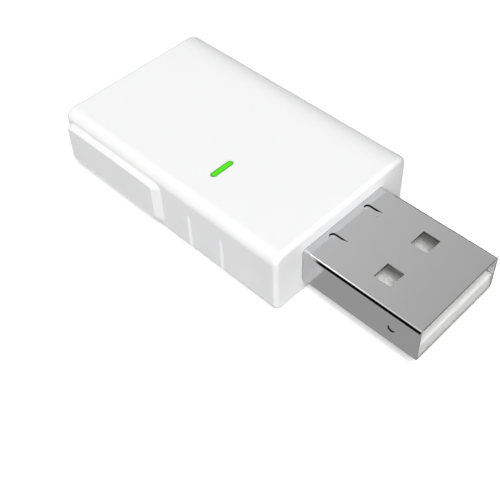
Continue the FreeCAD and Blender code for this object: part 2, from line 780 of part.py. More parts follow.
def make_circuit_board():
    """The board, cut out round the plug and the hooks, with holes for pins and legs."""
    body = start_body("circuit_board")
    panel = start_sketch(body, "panel", "XY_Plane", BOARD_BASE)
    edge = CAVITY_SIDE + " - board_gap"
    rectangle(panel, CAVITY_REAR + " + board_gap", CAVITY_FRONT + " - board_gap",
              negative(edge), edge)
    pad(body, panel, "board_thickness")
    fillet(body, "corners", lambda edge: runs_along(edge, "z"), "board_corner")
    openings = start_sketch(body, "openings", "XY_Plane", BOARD_TOP)
    rectangle(openings, PLUG_REAR + " - cutout_gap", CAVITY_FRONT,
              "0 - plug_width / 2 - cutout_gap", "plug_width / 2 + cutout_gap")
    legs_rear = FRONT + " - ear_front - ear_length - leg_gap"
    legs_front = FRONT + " - ear_front + leg_gap"
    for turned in ("", "0 - "):
        for step in range(2):
            place = HOOK_X + " - %d * hook_pitch" % step
            rectangle(openings, place + " - hook_width / 2 - notch_gap",
                      place + " + hook_width / 2 + notch_gap",
                      turned + "( " + HOOK_Y + " - hook_thickness - notch_gap )",
                      turned + "( " + CAVITY_SIDE + " )")
        rectangle(openings, legs_rear, legs_front,
                  turned + "( plug_width / 2 + ear_reach - sheet - leg_gap )",
                  turned + "( plug_width / 2 + ear_reach + leg_gap )")
    for x, y, pinned in post_places():
        if pinned:
            circle(openings, x, y, "pin_radius + pin_gap")
    pocket(body, openings, "board_thickness")
    return body


def middle(name):
    """The formulas of a board part's middle along X and Y."""
    own_place = (FRONT + " - %s_front" % name, "%s_side" % name)
    return MIDDLES.get(name, own_place)


def block_on_board(name, label, grow="0", lift="0"):
    """A block of a board part's size, grown by a margin all round, above the board."""
    x, y = middle(name)
    return box(label, x + " - %s_length / 2 - %s" % (name, grow),
               y + " - %s_width / 2 - %s" % (name, grow),
               BOARD_TOP + " + " + lift,
               "%s_length + 2 * %s" % (name, grow), "%s_width + 2 * %s" % (name, grow),
               "%s_height - %s" % (name, lift))


def make_flat_chip(name):
    """A chip without legs, with a round mark sunk in one corner."""
    x, y = middle(name)
    package = block_on_board(name, name + "_package")
    mark = cylinder(name + "_mark", x + " - %s_length / 2 + mark_inset" % name,
                    y + " - %s_width / 2 + mark_inset" % name,
                    BOARD_TOP + " + %s_height - mark_depth" % name, "mark_radius", "mark_depth")
    return cut(name, package, mark)


def make_legged_chip(name, legs, pitch, across_x):
    """A chip with bent legs on two sides, along X or along Y."""
    x, y = middle(name)
    pieces = [block_on_board(name, name + "_package", lift="lead_thickness / 2")]
    span = "%s_%s" % (name, "length" if across_x else "width")
    for end, count in enumerate(legs):
        for n in range(count):
            along = "( %s ) * %s - lead_width / 2" % (n - (count - 1) / 2, pitch)
            for part, reach, height in (("foot", "lead_reach", "lead_thickness"),
                                        ("knee", "lead_thickness", "%s_height / 2" % name)):
                start = span + " / 2" if end else "0 - %s / 2 - %s" % (span, reach)
                label = "%s_%s_%d_%d" % (name, part, end, n)
                if across_x:
                    leg = box(label, x + " + " + start, y + " + " + along, BOARD_TOP,
                              reach, "lead_width", height)
                else:
                    leg = box(label, x + " + " + along, y + " + " + start, BOARD_TOP,
                              "lead_width", reach, height)
                pieces.append(leg)
    return fuse(name, pieces)


def make_end_capped(name, along_x):
    """A capacitor, aerial or light source: a block with a metal cap over each end."""
    x, y = middle(name)
    span, cross = ("%s_%s" % (name, word) for word in
                   (("length", "width") if along_x else ("width", "length")))
    pieces = [block_on_board(name, name + "_middle", lift="terminal_proud")]
    aside = "0 - %s / 2 - terminal_proud" % cross
    breadth = cross + " + 2 * terminal_proud"
    height = "%s_height + terminal_proud" % name
    for end, start in enumerate(("0 - %s / 2 - terminal_proud" % span,
                                 "%s / 2 - terminal + terminal_proud" % span)):
        label = "%s_cap_%d" % (name, end)
        if along_x:
            cap = box(label, x + " + " + start, y + " + " + aside, BOARD_TOP,
                      "terminal", breadth, height)
        else:
            cap = box(label, x + " + " + aside, y + " + " + start, BOARD_TOP,
                      breadth, "terminal", height)
        pieces.append(cap)
    return fuse(name, pieces)


def make_radio_shield():
    """A can of thin sheet metal, open below, over the chip and its crystal."""
    outside = block_on_board("radio_shield", "shield_outside")
    inside = block_on_board("radio_shield", "shield_inside", grow="( 0 - shield_sheet )")
    bind(inside, Height="radio_shield_height - shield_sheet")
    return cut("radio_shield", outside, inside)


def make_crystal():
    """A flat package with a slightly smaller metal lid."""
    base = block_on_board("crystal", "crystal_base")
    bind(base, Height="crystal_height / 2")
    lid = block_on_board("crystal", "crystal_lid", grow="( 0 - crystal_step )")
    return fuse("crystal", [base, lid])


def make_power_inductor():
    """A drum: two square flanges with a round wound core between them."""
    x, y = middle("power_inductor")
    base = block_on_board("power_inductor", "inductor_base")
    bind(base, Height="flange_height")
    top = block_on_board("power_inductor", "inductor_top",
                         lift="( power_inductor_height - flange_height )")
    core = cylinder("inductor_core", x, y, BOARD_TOP, "core_radius", "power_inductor_height")
    return fuse("power_inductor", [base, top, core])


def make_row(name, count, front, side, pitch, height):
    """A row of small like parts along X."""
    pieces = []
    for n in range(count):
        pieces.append(box("%s_%d" % (name, n),
                          FRONT + " - %s - %d * %s - small_length / 2" % (front, n, pitch),
                          "0 - %s - small_width / 2" % side, BOARD_TOP,
                          "small_length", "small_width", height))
    return group(name, pieces)


def make_printed_antenna():
    """A copper track that winds to and fro across the rear of the board."""
    rear = CAVITY_REAR + " + board_gap + track_rear"
    length = SHIELD_REAR + " - track_gap - ( %s )" % rear
    pieces = []
    for n in range(TRACK_TURNS):
        place = "( %s ) * track_pitch - track_width / 2" % (n - (TRACK_TURNS - 1) / 2)
        pieces.append(box("track_bar_%d" % n, rear, place, BOARD_TOP,
                          length, "track_width", "track_thickness"))
        if n < TRACK_TURNS - 1:
            end = rear + " + %s - track_width" % length if n % 2 else rear
            pieces.append(box("track_link_%d" % n, end, place, BOARD_TOP,
                              "track_width", "track_pitch + track_width", "track_thickness"))
    return fuse("printed_antenna", pieces)


make_upper_cover()
make_lower_cover()
make_light_guide()
make_plug_shell()
make_plug_tongue()
for contact in CONTACTS:
    make_contact(*contact)
make_circuit_board()
make_radio_shield()
make_flat_chip("network_radio_chip")
make_flat_chip("short_range_radio_chip")
make_legged_chip("memory_chip", (4, 4), "lead_pitch", across_x=False)
make_legged_chip("surge_protector", (3, 3), "small_lead_pitch", across_x=True)
make_legged_chip("voltage_regulator", (3, 2), "small_lead_pitch", across_x=True)
make_crystal()
make_power_inductor()
make_end_capped("input_capacitor", along_x=False)
make_end_capped("output_capacitor", along_x=True)
make_end_capped("chip_antenna", along_x=True)
make_end_capped("status_led", along_x=False)
make_row("small_capacitors", CAPACITORS, "capacitor_front", "capacitor_side",
         "capacitor_pitch", "capacitor_height")
make_row("resistors", RESISTORS, "resistor_front", "resistor_side",
         "resistor_pitch", "resistor_height")
make_printed_antenna()
doc.recompute()

for item in doc.Objects:
    if "Invalid" in item.State or "Error" in item.State:
        raise RuntimeError("%s failed: %s" % (item.Name, item.State))

# A finished piece is a shape that no other shape uses
pieces = []
for item in doc.Objects:
    inside_body = item.getParentGeoFeatureGroup() is not None
    used = any(user.isDerivedFrom("Part::Feature") for user in item.InList)
    if item.isDerivedFrom("Part::Feature") and not inside_body and not used:
        pieces.append(item)

os.makedirs("parts", exist_ok=True)
for piece in pieces:
    if piece.Shape.isNull() or not piece.Shape.isValid():
        raise RuntimeError(piece.Label + " has no valid shape")
for piece in pieces:
    piece.Shape.exportStep(os.path.join("parts", piece.Label + ".step"))
    print(piece.Label, len(piece.Shape.Solids), round(piece.Shape.Volume, 3))
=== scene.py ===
"""The looks of a small plug-in network gateway, laid out as an add-on and run as a script."""

import math

import bmesh
import bpy
from bpy.props import FloatProperty, FloatVectorProperty, PointerProperty
from mathutils import Matrix, Vector


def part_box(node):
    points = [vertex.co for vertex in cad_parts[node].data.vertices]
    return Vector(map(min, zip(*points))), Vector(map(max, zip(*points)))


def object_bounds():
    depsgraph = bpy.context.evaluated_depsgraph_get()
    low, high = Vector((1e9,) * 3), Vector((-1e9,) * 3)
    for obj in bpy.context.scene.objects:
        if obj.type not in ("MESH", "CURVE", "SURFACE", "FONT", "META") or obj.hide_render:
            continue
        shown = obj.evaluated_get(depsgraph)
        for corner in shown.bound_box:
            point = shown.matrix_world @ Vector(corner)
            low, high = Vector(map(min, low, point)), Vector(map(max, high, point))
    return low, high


bl_info = {
    "name": "Plug-in Gateway",
    "version": (1, 0, 0),
    "blender": (4, 5, 0),
    "location": "View3D > Sidebar > Gateway",
    "description": "Dresses the gateway's frame with its finishes and sets the studio",
    "category": "Object",
}

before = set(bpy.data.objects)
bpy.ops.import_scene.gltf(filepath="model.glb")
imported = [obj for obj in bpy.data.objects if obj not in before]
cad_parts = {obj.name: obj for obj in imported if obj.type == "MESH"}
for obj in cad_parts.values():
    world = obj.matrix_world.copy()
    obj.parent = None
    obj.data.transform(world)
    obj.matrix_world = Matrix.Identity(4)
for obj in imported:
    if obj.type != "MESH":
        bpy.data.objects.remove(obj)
CAD_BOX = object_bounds()
MM = 0.001


class HousingLook(bpy.types.PropertyGroup):
    """What a user would change on the moulded housing."""
    plastic_colour: FloatVectorProperty(
        name="Plastic colour", description="Colour of the moulded shell",
        subtype="COLOR", size=4, min=0, max=1, default=(0.91, 0.91, 0.912, 1))
    plastic_roughness: FloatProperty(
        name="Roughness", description="Roughness of the satin surface",
        subtype="FACTOR", min=0, max=1, default=0.42)
    grain_size: FloatProperty(
        name="Grain size", description="Size of the fine mould grain",
        subtype="DISTANCE", unit="LENGTH", default=0.12 * MM)
    lens_colour: FloatVectorProperty(
        name="Window colour", description="Colour of the indicator window's plastic",
        subtype="COLOR", size=4, min=0, max=1, default=(0.04, 0.38, 0.004, 1))
    glow_colour: FloatVectorProperty(
        name="Glow colour", description="Colour of the light in the indicator window",
        subtype="COLOR", size=4, min=0, max=1, default=(0.13, 0.86, 0.01, 1))
    rim_colour: FloatVectorProperty(
        name="Rim colour", description="Colour at the edge of the indicator window",
        subtype="COLOR", size=4, min=0, max=1, default=(0.03, 0.12, 0.01, 1))
    lens_glow: FloatProperty(
        name="Glow", description="How strongly the indicator window shines",
        min=0, max=10, default=0.5)


class PlugLook(bpy.types.PropertyGroup):
    """What a user would change on the plug."""
    metal_colour: FloatVectorProperty(
        name="Metal colour", description="Colour of the plated shell",
        subtype="COLOR", size=4, min=0, max=1, default=(0.62, 0.62, 0.625, 1))
    metal_roughness: FloatProperty(
        name="Roughness", description="Roughness of the plating",
        subtype="FACTOR", min=0, max=1, default=0.12)
    grazing_tint: FloatVectorProperty(
        name="Grazing tint", description="Tint of the plating where it is seen at a low angle",
        subtype="COLOR", size=4, min=0, max=1, default=(0.8, 0.8, 0.8, 1))
    # Painted shade: the near-black colour painted on the walls of the sheet's slits, windows and
    # dimples
    edge_shade_colour: FloatVectorProperty(
        name="Edge colour", description="Colour of the stamped edges of the sheet",
        subtype="COLOR", size=4, min=0, max=1, default=(0.02, 0.02, 0.02, 1))
    # Painted light: a pale colour on the shell's inner faces, which are the same plating; on the
    # tongue it is its white away from the mouth
    inner_white_and_painted_light: FloatVectorProperty(
        name="Inner colour", description="Colour of the shell's inner side and the tongue's root",
        subtype="COLOR", size=4, min=0, max=1, default=(0.9, 0.9, 0.89, 1))
    # Painted shade: the tongue's colour where it is darkened at the plug's mouth
    mouth_shade_colour: FloatVectorProperty(
        name="Tongue colour", description="Colour of the tongue at the plug's mouth",
        subtype="COLOR", size=4, min=0, max=1, default=(0.69, 0.69, 0.685, 1))


class StudioLook(bpy.types.PropertyGroup):
    """Camera, lights and background."""
    azimuth: FloatProperty(
        name="Azimuth", description="Turn of the camera about the vertical",
        subtype="ANGLE", unit="ROTATION", default=math.radians(44.98))
    elevation: FloatProperty(
        name="Elevation", description="Height of the camera above the horizon",
        subtype="ANGLE", unit="ROTATION", default=math.radians(47.58))
    roll: FloatProperty(
        name="Roll", description="Tilt of the camera about its own line of sight",
        subtype="ANGLE", unit="ROTATION", default=math.radians(-1.48))
    lens: FloatProperty(
        name="Focal length", description="Focal length in millimetres on a 36 mm sensor",
        subtype="DISTANCE_CAMERA", unit="CAMERA", default=63.54)
    dome: FloatProperty(
        name="Dome strength", description="Brightness of the light from all round",
        min=0, max=5, default=0.24)
    main_power: FloatProperty(
        name="Main power", description="Power of the high softbox on the camera's side",
        subtype="POWER", unit="POWER", default=7.95)
    key_power: FloatProperty(
        name="Key power", description="Power of the low softbox at the near front corner",
        subtype="POWER", unit="POWER", default=1.85)
    front_power: FloatProperty(
        name="Front power", description="Power of the softbox ahead of the plug",
        subtype="POWER", unit="POWER", default=1.3)
    card_tones: FloatVectorProperty(
        name="Card tones", description="Tones of the card that the plug's upper side mirrors",
        size=2, min=0, max=5, default=(1.09, 0.4))
    upper_tones: FloatVectorProperty(
        name="Upper card tones", description="Tones of the card next to it, nearer the zenith",
        size=2, min=0, max=5, default=(0.66, 0.62))
    fold_tones: FloatVectorProperty(
        name="Fold tones", description="Tones of the card that the plug's near fold mirrors",
        size=2, min=0, max=5, default=(2.4, 2.4))
    floor_tones: FloatVectorProperty(
        name="Floor card tones", description="Tones of the card that the plug's side mirrors",
        size=2, min=0, max=5, default=(0.45, 0.48))


LOOKS = {"housing_look": HousingLook, "plug_look": PlugLook, "studio_look": StudioLook}
WHITE = (1.0, 1.0, 1.0, 1)
BLACK = (0.0, 0.0, 0.0, 1)

# The indicator window: its half width, and half the length of its straight part
LENS_RADIUS = 0.34 * MM
LENS_STRAIGHT = 1.085 * MM

# The plug: half its width, its sheet, where the spring tabs end and the latch windows begin,
# the reach of a dimple from the side's middle height, and the plain strip before the rim
PLUG_HALF = 6.0 * MM
SHEET = 0.3 * MM
TAB_END = 12.0 * MM
DIMPLE_REACH = 0.6 * MM
RIM_STRIP = 1.0 * MM
# How much lighter the painted shade on the latch windows' walls is than on the tabs' slits
WINDOW_SHADE_FADE = 0.5
# Where along the plug the tongue turns from the pale inner colour to its painted shade at the
# mouth
MOUTH_SHADE_SPAN = (18.0 * MM, 20.0 * MM)
# Which way a face points, as parts of a unit normal: a wall's rises less than the first, and a
# dimple's wall points less sideways than the second; a tab's root leans back by more than the
# third and rises by more than the fourth
WALL_RISE = 0.5
SIDE_TURN = 0.9
ROOT_LEAN = 0.1
ROOT_RISE = 0.8

# The camera
CAMERA_PLACE = Vector((45.05, -47.14, 69.08)) * MM
CAMERA_SHIFT = (-0.0302, -0.0391)

# The floor: half its length in metres, the paper's colour as the object is lit by it, and how
# far the paper is lifted to white at the object and at a distance from it
FLOOR_HALF = 2.0
PAPER = (0.62, 0.62, 0.62, 1)
FLOOR_LIFT = (0.3, 0.8)
LIFT_SPAN = (1.0 * MM, 5.0 * MM)

# The softboxes: the point they face, their distance and size in metres, and the azimuth and
# elevation in degrees that each one stands at
LAMP_AIM = Vector((-7.0, 0.0, 6.0)) * MM
LAMP_DISTANCE = 1.05
LAMP_SIZE = 0.42
LAMPS = {"main": (-35, 62), "key": (-52, 26), "front": (-20, 50)}

# The cards, in millimetres and degrees: the point that each one faces, its azimuth and
# elevation, its distance and size, and the look that holds its tones, if it isn't black
CARDS = {
    "grey_card": ((16, 0, 6), (135, 47.6), 150, (140, 120), "card_tones"),
    "upper_card": ((16, 0, 6), (180, 66), 160, (150, 90), "upper_tones"),
    "white_card": ((16, 0, 6), (217, 50), 100, (46, 24), "fold_tones"),
    "near_black_card": ((14.5, 0, 6.5), (-90, 0), 14, (19, 13), None),
    "far_black_card": ((14.5, 0, 4.5), (90, 0), 14, (19, 9), None),
    "floor_card": ((-4, 0, 6), (-90, -89.9), 5.5, (90, 50), "floor_tones"),
}
# The sheet that shades the housing's far edge from the lamps: its middle and its size
FLAG_PLACE = (-4.6, 8.8, 18)
FLAG_SIZE = (44, 5)


def new_material(name, colour, roughness, metallic=0.0):
    """A material with one principled shader, and that shader."""
    material = bpy.data.materials.new(name)
    material.use_nodes = True
    shader = material.node_tree.nodes["Principled BSDF"]
    shader.inputs["Base Color"].default_value = colour
    shader.inputs["Roughness"].default_value = roughness
    shader.inputs["Metallic"].default_value = metallic
    return material, shader


def node(material, kind, **settings):
    """A new node of a material or a world."""
    made = material.node_tree.nodes.new(kind)
    for key, value in settings.items():
        setattr(made, key, value)
    return made


def link(material, source, target):
    """Links a node's output to another one's input."""
    material.node_tree.links.new(source, target)


def feed(material, source, socket):
    """Links a socket to another one, or gives it a plain value."""
    if isinstance(source, bpy.types.NodeSocket):
        link(material, source, socket)
    else:
        socket.default_value = source


def maths(material, operation, *sources):
    """A Math node's result; each source is a socket or a number."""
    made = node(material, "ShaderNodeMath", operation=operation)
    for socket, source in zip(made.inputs, sources):
        feed(material, source, socket)
    return made.outputs[0]


def product(material, first, *others):
    """All the sources multiplied: 1 only where each of them is."""
    for other in others:
        first = maths(material, "MULTIPLY", first, other)
    return first


def ramp(material, source, span, ends=(0.0, 1.0), **settings):
    """Follows a source from the first end to the second as it crosses a span."""
    made = node(material, "ShaderNodeMapRange", **settings)
    made.inputs["From Min"].default_value, made.inputs["From Max"].default_value = span
    made.inputs["To Min"].default_value, made.inputs["To Max"].default_value = ends
    link(material, source, made.inputs["Value"])
    return made.outputs["Result"]


def blend(material, first, second, factor):
    """The first colour where the factor is 0 and the second where it is 1."""
    made = node(material, "ShaderNodeMix", data_type="RGBA")
    feed(material, first, made.inputs["A"])
    feed(material, second, made.inputs["B"])
    link(material, factor, made.inputs["Factor"])
    return made.outputs["Result"]


def object_place(material):
    """The X, Y and Z of Object coordinates."""
    source = node(material, "ShaderNodeTexCoord")
    split = node(material, "ShaderNodeSeparateXYZ")
    link(material, source.outputs["Object"], split.inputs[0])
    return split.outputs


def true_normal(material):
    """The X, Y and Z of the direction that a face points in."""
    source = node(material, "ShaderNodeNewGeometry")
    split = node(material, "ShaderNodeSeparateXYZ")
    link(material, source.outputs["True Normal"], split.inputs[0])
    return split.outputs


def add_grain(material, shader, size, strength, height, stretch=(1, 1, 1)):
    """Fine relief over the whole surface, and its noise."""
    place = node(material, "ShaderNodeTexCoord")
    mapping = node(material, "ShaderNodeMapping")
    mapping.inputs["Scale"].default_value = [s / size for s in stretch]
    link(material, place.outputs["Object"], mapping.inputs["Vector"])
    noise = node(material, "ShaderNodeTexNoise")
    noise.inputs["Scale"].default_value = 1.0
    noise.inputs["Detail"].default_value = 3.0
    link(material, mapping.outputs["Vector"], noise.inputs["Vector"])
    bump = node(material, "ShaderNodeBump")
    bump.inputs["Strength"].default_value = strength
    bump.inputs["Distance"].default_value = height
    link(material, noise.outputs["Fac"], bump.inputs["Height"])
    link(material, bump.outputs["Normal"], shader.inputs["Normal"])
    return noise


def vary_roughness(material, shader, noise, low, high):
    """Lets the roughness follow a noise between two values."""
    rough = ramp(material, noise.outputs["Fac"], (0.3, 0.7), (low, high))
    link(material, rough, shader.inputs["Roughness"])


def white_plastic():
    """The housing's satin plastic, which lets a little light in."""
    look = bpy.context.scene.housing_look
    rough = look.plastic_roughness
    material, shader = new_material("white_plastic", look.plastic_colour, rough)
    grain = add_grain(material, shader, look.grain_size, 0.12, 0.01 * MM)
    vary_roughness(material, shader, grain, rough - 0.03, rough + 0.05)
    shader.inputs["Subsurface Weight"].default_value = 0.12
    shader.inputs["Subsurface Radius"].default_value = (1.0, 0.9, 0.8)
    shader.inputs["Subsurface Scale"].default_value = 0.4 * MM
    return material


def green_lens():
    """Lit green plastic, deeper in colour near the wall of its slot."""
    look = bpy.context.scene.housing_look
    material, shader = new_material("green_lens", look.lens_colour, 0.3)
    shader.inputs["Specular IOR Level"].default_value = 0.2
    glow = blend(material, look.glow_colour, look.rim_colour, lens_rim(material))
    link(material, glow, shader.inputs["Emission Color"])
    shader.inputs["Emission Strength"].default_value = look.lens_glow
    add_grain(material, shader, 0.3 * MM, 0.1, 0.01 * MM)
    return material


def lens_rim(material):
    """0 along the middle of the indicator window, rising to 1 at its edge."""
    low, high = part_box("light_guide")
    middle = [(a + b) / 2 for a, b in zip(low, high)]
    place = object_place(material)
    across = maths(material, "SUBTRACT", place["X"], middle[0])
    along = maths(material, "ABSOLUTE", maths(material, "SUBTRACT", place["Y"], middle[1]))
    past_end = maths(material, "MAXIMUM", maths(material, "SUBTRACT", along, LENS_STRAIGHT), 0.0)
    square = maths(material, "ADD", maths(material, "MULTIPLY", across, across),
                   maths(material, "MULTIPLY", past_end, past_end))
    return ramp(material, maths(material, "SQRT", square), (0.35 * LENS_RADIUS, LENS_RADIUS))


def plated_steel():
    """Smooth plating with a faint grain, with painted shade on the stamped edges of the sheet and
    painted light on its inner side.
    """
    look = bpy.context.scene.plug_look
    rough = look.metal_roughness
    material, shader = new_material("plug_steel", look.metal_colour, rough, 1.0)
    grain = add_grain(material, shader, 0.05 * MM, 0.02, 0.002 * MM, (0.1, 1, 1))
    vary_roughness(material, shader, grain, rough - 0.03, rough + 0.05)
    shader.inputs["Specular Tint"].default_value = look.grazing_tint
    flatten_tab_bends(material, shader)
    # Painted light on the shell's inner faces, then painted shade on the walls of its openings
    # and dimples
    sides = blend(material, look.metal_colour, look.inner_white_and_painted_light, painted_inner_light(material))
    colour = blend(material, sides, look.edge_shade_colour, painted_edge_shade(material))
    link(material, colour, shader.inputs["Base Color"])
    return material


def flatten_tab_bends(material, shader):
    """Shades the gentle slopes at the roots of the spring tabs as if they were level."""
    normal = true_normal(material)
    bends = product(material, maths(material, "LESS_THAN", normal["X"], -ROOT_LEAN),
                    maths(material, "GREATER_THAN", normal["Z"], ROOT_RISE))
    mix = node(material, "ShaderNodeMix", data_type="VECTOR")
    link(material, shader.inputs["Normal"].links[0].from_socket, mix.inputs["A"])
    mix.inputs["B"].default_value = (0, 0, 1)
    link(material, bends, mix.inputs["Factor"])
    link(material, mix.outputs["Result"], shader.inputs["Normal"])


def painted_edge_shade(material):
    """1 on the walls of openings in the shell's upper side and in its dimples, where shade is
    painted, else 0.
    """
    return maths(material, "MAXIMUM", opening_wall_shade(material), dimple_wall_shade(material))


def opening_wall_shade(material):
    """Painted shade: 1 on the walls of the tabs' slits, less on those of the latch windows, else
    0.
    """
    place, normal = object_place(material), true_normal(material)
    low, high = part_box("plug_shell")
    upright = maths(material, "LESS_THAN", maths(material, "ABSOLUTE", normal["Z"]), WALL_RISE)
    near_top = maths(material, "GREATER_THAN", place["Z"], high[2] - 1.5 * SHEET)
    inside = maths(material, "LESS_THAN",
                   maths(material, "ABSOLUTE", place["Y"]), PLUG_HALF - 1.6 * SHEET)
    in_window = maths(material, "GREATER_THAN", place["X"], TAB_END)
    shade = maths(material, "SUBTRACT", 1.0, maths(material, "MULTIPLY", in_window, WINDOW_SHADE_FADE))
    return product(material, upright, near_top, inside, shade)


def dimple_wall_shade(material):
    """Painted shade: 1 on the walls of the dimples in the shell's sides, else 0."""
    place, normal = object_place(material), true_normal(material)
    low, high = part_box("plug_shell")
    off_side = maths(material, "LESS_THAN", maths(material, "ABSOLUTE", normal["Y"]), SIDE_TURN)
    height = maths(material, "SUBTRACT", place["Z"], (low[2] + high[2]) / 2)
    level = maths(material, "LESS_THAN", maths(material, "ABSOLUTE", height), DIMPLE_REACH)
    outer = maths(material, "GREATER_THAN",
                  maths(material, "ABSOLUTE", place["Y"]), PLUG_HALF - 0.8 * SHEET)
    before_rim = maths(material, "LESS_THAN", place["X"], high[0] - RIM_STRIP)
    return product(material, off_side, level, outer, before_rim)


def painted_inner_light(material):
    """1 on the inner faces above and below the shell's hollow, where light is painted, else 0."""
    place = object_place(material)
    low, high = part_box("plug_shell")
    depth = 0.7 * SHEET
    across = maths(material, "LESS_THAN",
                   maths(material, "ABSOLUTE", place["Y"]), PLUG_HALF - 1.3 * SHEET)
    below = maths(material, "LESS_THAN", place["Z"], high[2] - depth)
    above = maths(material, "GREATER_THAN", place["Z"], low[2] + depth)
    return product(material, across, below, above)


def tongue_plastic():
    """White nylon that lets some light through, greyer at the plug's mouth as painted shade."""
    look = bpy.context.scene.plug_look
    material, shader = new_material("tongue_plastic", look.mouth_shade_colour, 0.65)
    add_grain(material, shader, 0.15 * MM, 0.12, 0.008 * MM)
    # Painted shade that darkens the tongue towards the mouth
    shade_at_mouth = ramp(material, object_place(material)["X"], MOUTH_SHADE_SPAN)
    link(material, blend(material, look.inner_white_and_painted_light, look.mouth_shade_colour, shade_at_mouth),
         shader.inputs["Base Color"])
    shader.inputs["Subsurface Weight"].default_value = 1.0
    shader.inputs["Subsurface Radius"].default_value = (1.0, 1.0, 1.0)
    shader.inputs["Subsurface Scale"].default_value = 1.0 * MM
    return material


def moulded(name, colour, roughness):
    """A plastic or ceramic with a fine grain."""
    material, shader = new_material(name, colour, roughness)
    grain = add_grain(material, shader, 0.15 * MM, 0.15, 0.008 * MM)
    vary_roughness(material, shader, grain, roughness - 0.05, roughness + 0.06)
    return material


def metal(name, colour, roughness):
    """A metal with a fine grain."""
    material, shader = new_material(name, colour, roughness, 1.0)
    grain = add_grain(material, shader, 0.08 * MM, 0.08, 0.004 * MM)
    vary_roughness(material, shader, grain, roughness - 0.06, roughness + 0.08)
    return material


def paint(material, *names):
    """Gives each of the named frame nodes this one material."""
    for name in names:
        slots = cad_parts[name].data.materials
        slots.clear()
        slots.append(material)


class GATEWAY_OT_covers(bpy.types.Operator):
    """Finish the two covers of the housing"""
    bl_idname = "gateway.covers"
    bl_label = "Covers"

    def execute(self, context):
        paint(white_plastic(), "upper_cover", "lower_cover")
        return {"FINISHED"}


class GATEWAY_OT_light_guide(bpy.types.Operator):
    """Finish the indicator window"""
    bl_idname = "gateway.light_guide"
    bl_label = "Indicator window"

    def execute(self, context):
        paint(green_lens(), "light_guide")
        return {"FINISHED"}


class GATEWAY_OT_plug_shell(bpy.types.Operator):
    """Finish the plug's folded shell"""
    bl_idname = "gateway.plug_shell"
    bl_label = "Plug shell"

    def execute(self, context):
        paint(plated_steel(), "plug_shell")
        return {"FINISHED"}


class GATEWAY_OT_plug_tongue(bpy.types.Operator):
    """Finish the tongue inside the plug"""
    bl_idname = "gateway.plug_tongue"
    bl_label = "Plug tongue"

    def execute(self, context):
        paint(tongue_plastic(), "plug_tongue")
        return {"FINISHED"}


class GATEWAY_OT_contacts(bpy.types.Operator):
    """Finish the plug's four contacts"""
    bl_idname = "gateway.contacts"
    bl_label = "Contacts"

    def execute(self, context):
        paint(metal("contact_metal", (0.9, 0.9, 0.895, 1), 0.8),
              "power_contact", "data_minus_contact", "data_plus_contact", "ground_contact")
        return {"FINISHED"}


class GATEWAY_OT_circuit_board(bpy.types.Operator):
    """Finish the circuit board"""
    bl_idname = "gateway.circuit_board"
    bl_label = "Circuit board"

    def execute(self, context):
        paint(moulded("board_laminate", (0.02, 0.13, 0.05, 1), 0.3), "circuit_board")
        return {"FINISHED"}


class GATEWAY_OT_radio_shield(bpy.types.Operator):
    """Finish the sheet metal can over the radio"""
    bl_idname = "gateway.radio_shield"
    bl_label = "Radio shield"

    def execute(self, context):
        paint(metal("shield_steel", (0.62, 0.62, 0.6, 1), 0.35), "radio_shield")
        return {"FINISHED"}


class GATEWAY_OT_chips(bpy.types.Operator):
    """Finish the five black chips"""
    bl_idname = "gateway.chips"
    bl_label = "Chips"

    def execute(self, context):
        paint(moulded("chip_plastic", (0.02, 0.02, 0.022, 1), 0.5),
              "network_radio_chip", "short_range_radio_chip", "memory_chip",
              "surge_protector", "voltage_regulator")
        return {"FINISHED"}


class GATEWAY_OT_small_parts(bpy.types.Operator):
    """Finish the capacitors, the resistors, the coil, the crystal and the light source"""
    bl_idname = "gateway.small_parts"
    bl_label = "Small parts"

    def execute(self, context):
        paint(moulded("capacitor_ceramic", (0.42, 0.28, 0.16, 1), 0.4),
              "input_capacitor", "output_capacitor", "small_capacitors")
        paint(moulded("resistor_film", (0.03, 0.03, 0.035, 1), 0.4), "resistors")
        paint(moulded("coil_ferrite", (0.06, 0.06, 0.065, 1), 0.6), "power_inductor")
        paint(metal("crystal_metal", (0.7, 0.68, 0.62, 1), 0.3), "crystal")
        paint(moulded("led_resin", (0.8, 0.85, 0.75, 1), 0.2), "status_led")
        return {"FINISHED"}


class GATEWAY_OT_antennas(bpy.types.Operator):
    """Finish the printed antenna and the ceramic one"""
    bl_idname = "gateway.antennas"
    bl_label = "Antennas"

    def execute(self, context):
        paint(metal("track_copper", (0.8, 0.42, 0.24, 1), 0.4), "printed_antenna")
        paint(moulded("antenna_ceramic", (0.6, 0.66, 0.72, 1), 0.35), "chip_antenna")
        return {"FINISHED"}


class GATEWAY_OT_studio(bpy.types.Operator):
    """Set the floor, the lamps, the cards and the camera"""
    bl_idname = "gateway.studio"
    bl_label = "Studio"

    def execute(self, context):
        scene = context.scene
        look = scene.studio_look
        add_floor()
        add_world(scene, look)
        for name, direction in LAMPS.items():
            add_softbox(scene, name + "_softbox", direction, getattr(look, name + "_power"))
        for name, (aim, direction, distance, size, tones) in CARDS.items():
            card = add_sheet(name, aim, direction, distance, size)
            grade_card(*card, getattr(look, tones) if tones else (0, 0))
        add_flag("edge_flag", FLAG_PLACE, FLAG_SIZE)
        add_camera(scene, look)
        scene.view_settings.view_transform = "Standard"
        return {"FINISHED"}


def seen_directly(material):
    """1 for what the camera sees itself, in a mirror or through glass, else 0."""
    path = node(material, "ShaderNodeLightPath")
    either = maths(material, "ADD", path.outputs["Is Camera Ray"], path.outputs["Is Glossy Ray"])
    total = node(material, "ShaderNodeMath", operation="ADD", use_clamp=True)
    link(material, either, total.inputs[0])
    link(material, path.outputs["Is Transmission Ray"], total.inputs[1])
    return total.outputs[0]


